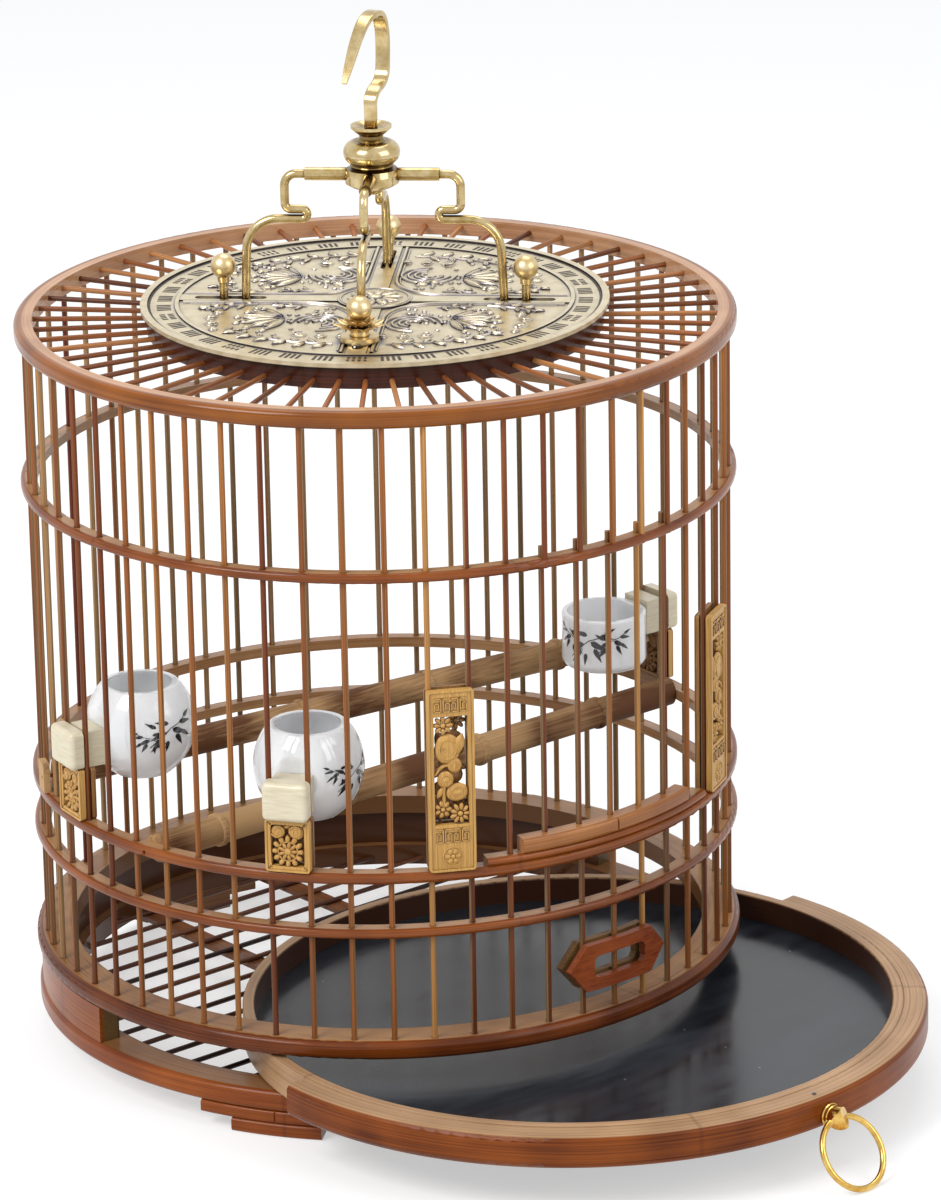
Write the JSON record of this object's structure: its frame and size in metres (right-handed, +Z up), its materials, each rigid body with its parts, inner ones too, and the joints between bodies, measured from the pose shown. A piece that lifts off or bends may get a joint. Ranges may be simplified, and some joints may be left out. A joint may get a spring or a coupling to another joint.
{
  "type": "bird cage",
  "caption": "Round bamboo bird cage on stepped feet, with a lift-up door, pull-out tray, porcelain cups, perches and a brass hanger with a swivel hook.",
  "frame": {"origin": "on the cage's axis, at the level that the three feet stand on", "axes": "+Z up along the cage's axis, -Y towards the door, the window plate and, within 4 degrees, the tray's pull"},
  "size_m": [0.3377, 0.4739, 0.4785],
  "materials": {
    "bamboo_ring": "varnished bamboo, satin gloss",
    "bamboo_bar": "drawn bamboo rods, varnished",
    "bamboo_tray": "varnished bamboo, glossy outside",
    "tray_board": "dark grey, satin",
    "bamboo_perch": "plain bamboo, weathered",
    "carved_boxwood": "carved boxwood, waxed",
    "ivory_block": "ivory coloured, polished",
    "window_wood": "reddish wood, varnished",
    "polished_brass": "polished brass",
    "pressed_brass": "pressed brass with darkened recesses",
    "porcelain": "white glaze, glossy"
  },
  "bodies": {
    "cage": {"arm_sleeves": "polished_brass", "back_foot": "bamboo_ring", "back_perch": "bamboo_perch", "base_ring": "bamboo_ring", "bottom_ring": "bamboo_ring", "brass_plate": "pressed_brass", "carrying_ring": "bamboo_ring", "claw_balls": "polished_brass", "claws": "polished_brass", "door_sill": "bamboo_ring", "floor_rails": "bamboo_bar", "floor_slats": "bamboo_bar", "front_clip_backing": "carved_boxwood", "front_clip_block": "ivory_block", "front_clip_plate": "carved_boxwood", "front_clip_saddle": "ivory_block", "front_perch": "bamboo_perch", "hanger_hub": "polished_brass", "housing_wall": "bamboo_ring", "left_clip_backing": "carved_boxwood", "left_clip_block": "ivory_block", "left_clip_plate": "carved_boxwood", "left_clip_saddle": "ivory_block", "left_foot": "bamboo_ring", "left_jamb": "carved_boxwood", "left_jamb_backing": "carved_boxwood", "lower_hoop": "bamboo_ring", "middle_hoop": "bamboo_ring", "perch_brackets": "bamboo_perch", "perch_pins": "bamboo_bar", "petal_washer": "polished_brass", "plate_ring": "bamboo_ring", "right_clip_backing": "carved_boxwood", "right_clip_block": "ivory_block", "right_clip_plate": "carved_boxwood", "right_clip_saddle": "ivory_block", "right_foot": "bamboo_ring", "right_jamb": "carved_boxwood", "right_jamb_backing": "carved_boxwood", "top_bars": "bamboo_bar", "top_ring": "bamboo_ring", "upper_hoop": "bamboo_ring", "wall_bars": "bamboo_bar", "washer_collar": "polished_brass", "window_backing": "window_wood", "window_plate": "window_wood"},
    "door": {"door_rail": "bamboo_ring", "door_bars": "bamboo_bar"},
    "tray": {"tray_rim": "bamboo_tray", "tray_sheet": "tray_board", "tray_band": "bamboo_tray", "tray_pull": "polished_brass"},
    "pull_ring": {"pull_ring": "polished_brass"},
    "hook": {"hook": "polished_brass", "hook_nut": "polished_brass"},
    "left_cup": {"left_cup": "porcelain"},
    "front_cup": {"front_cup": "porcelain"},
    "right_cup": {"right_cup": "porcelain"}
  },
  "joints": [
    {"name": "door_lift", "type": "slide", "parent": "cage", "child": "door", "axis": [0, 0, 1], "range_m": [0, 0.06]},
    {"name": "tray_slide", "type": "slide", "parent": "cage", "child": "tray", "axis": [0.0698, -0.9976, 0], "range_m": [-0.122, 0.13]},
    {"name": "ring_swing", "type": "hinge", "parent": "tray", "child": "pull_ring", "pos_m": [0.0161, -0.28893, 0.029], "axis": [-0.999, -0.0454, 0], "range_deg": [-33, 115]},
    {"name": "hook_swivel", "type": "hinge", "parent": "cage", "child": "hook", "pos_m": [0, 0, 0.4267], "axis": [0, 0, 1], "continuous": true},
    {"name": "left_cup_pull", "type": "slide", "parent": "cage", "child": "left_cup", "axis": [0.9859, -0.1675, 0], "range_m": [0, 0.014]},
    {"name": "front_cup_pull", "type": "slide", "parent": "cage", "child": "front_cup", "axis": [0.8156, 0.5787, 0], "range_m": [0, 0.014]},
    {"name": "right_cup_pull", "type": "slide", "parent": "cage", "child": "right_cup", "axis": [-0.9984, 0.0561, 0], "range_m": [0, 0.014]}
  ]
}
